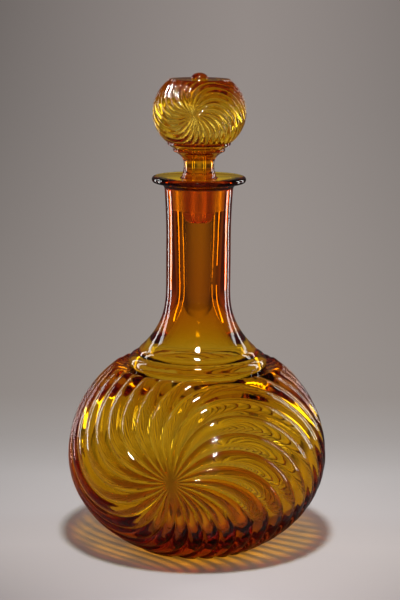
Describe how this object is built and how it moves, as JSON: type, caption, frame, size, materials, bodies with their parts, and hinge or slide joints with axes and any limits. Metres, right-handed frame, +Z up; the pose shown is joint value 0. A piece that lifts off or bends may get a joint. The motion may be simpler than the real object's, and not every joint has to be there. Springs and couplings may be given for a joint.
{
  "type": "stoppered glass decanter",
  "caption": "Amber glass decanter with a swirl-ribbed globe, a ringed collar, a tall neck with a flared lip and a ribbed ball stopper that lifts out.",
  "frame": {"origin": "middle of the flat foot that the bottle stands on", "axes": "+Z up along the neck, through the stopper; -Y is the front, where one eye of the swirl ribs looks out, and +Y holds the other eye"},
  "size_m": [0.143, 0.1434, 0.2615],
  "materials": {
    "amber_glass": "clear polished amber glass",
    "light_amber_glass": "clear polished amber glass, thinner and lighter, with a ground plug"
  },
  "bodies": {
    "bottle": {"bottle": "amber_glass"},
    "stopper": {"stopper": "light_amber_glass"}
  },
  "joints": [
    {"name": "stopper_lift", "type": "slide", "parent": "bottle", "child": "stopper", "axis": [0, 0, 1], "range_m": [0, 0.06]}
  ]
}
